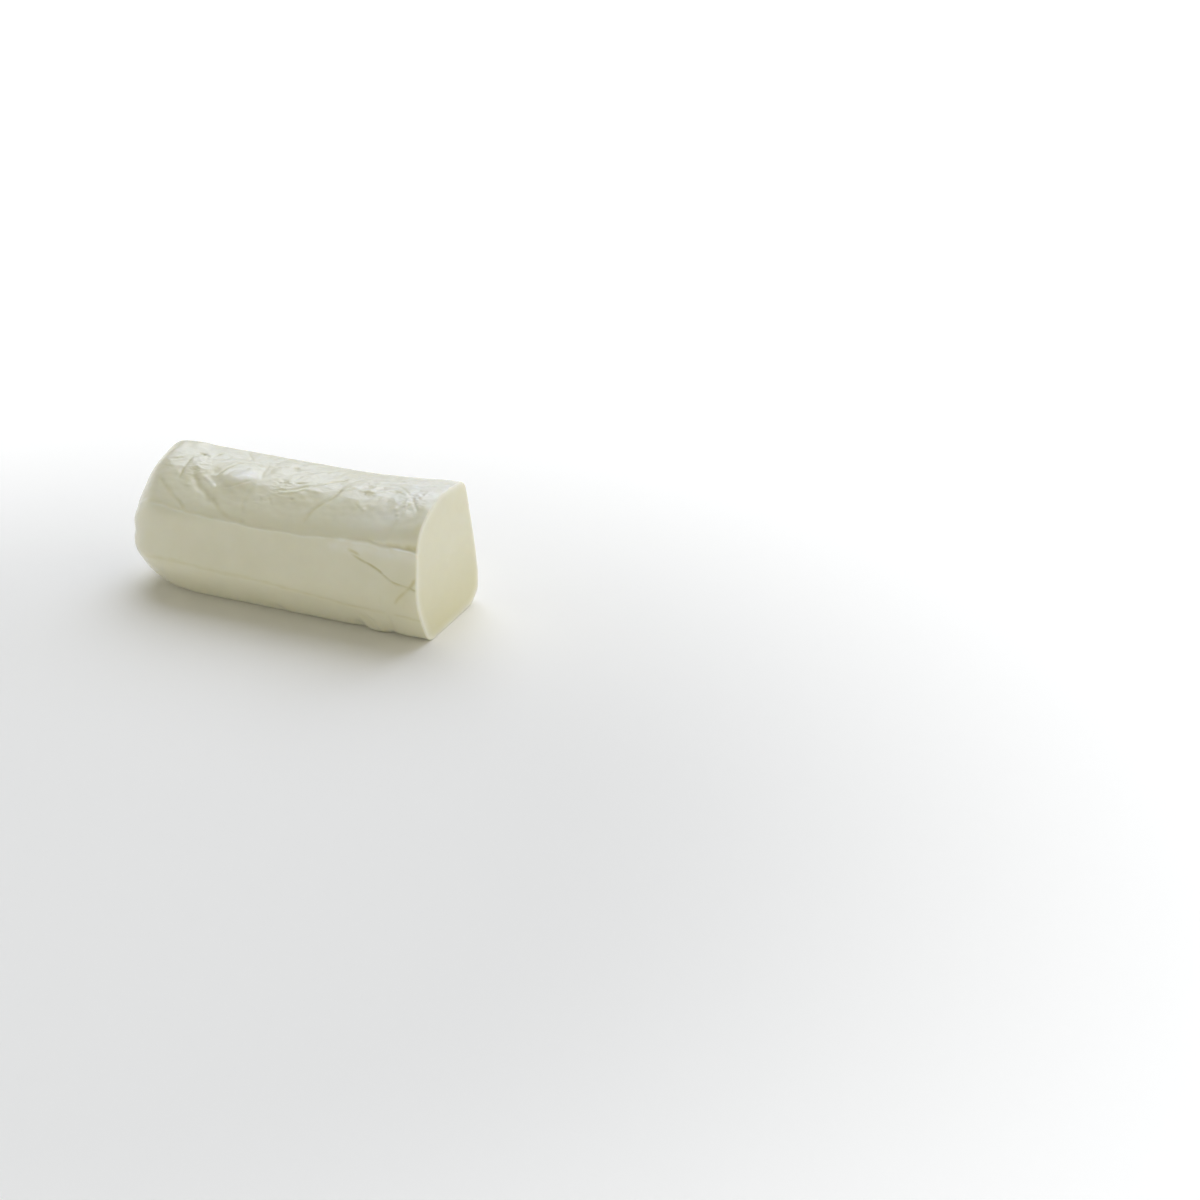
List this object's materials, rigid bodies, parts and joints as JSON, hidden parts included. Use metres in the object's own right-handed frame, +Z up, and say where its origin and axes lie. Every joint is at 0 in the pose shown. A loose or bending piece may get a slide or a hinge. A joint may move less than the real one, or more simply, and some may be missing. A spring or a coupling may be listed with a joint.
{
  "type": "fresh mozzarella log",
  "caption": "Log of fresh mozzarella, pressed smooth by its film casing, with one domed end and one end cut straight across.",
  "frame": {"origin": "centre of the log's bounding box on the plane it lies on", "axes": "+X along the log towards the cut face, -Y towards the front with the casing's seam, +Z up"},
  "size_m": [0.1406, 0.0542, 0.0586],
  "materials": {
    "mozzarella": "moist, softly glossy skin and a smooth knife-cut face"
  },
  "bodies": {
    "root": {"mozzarella_log": "mozzarella"}
  },
  "joints": []
}
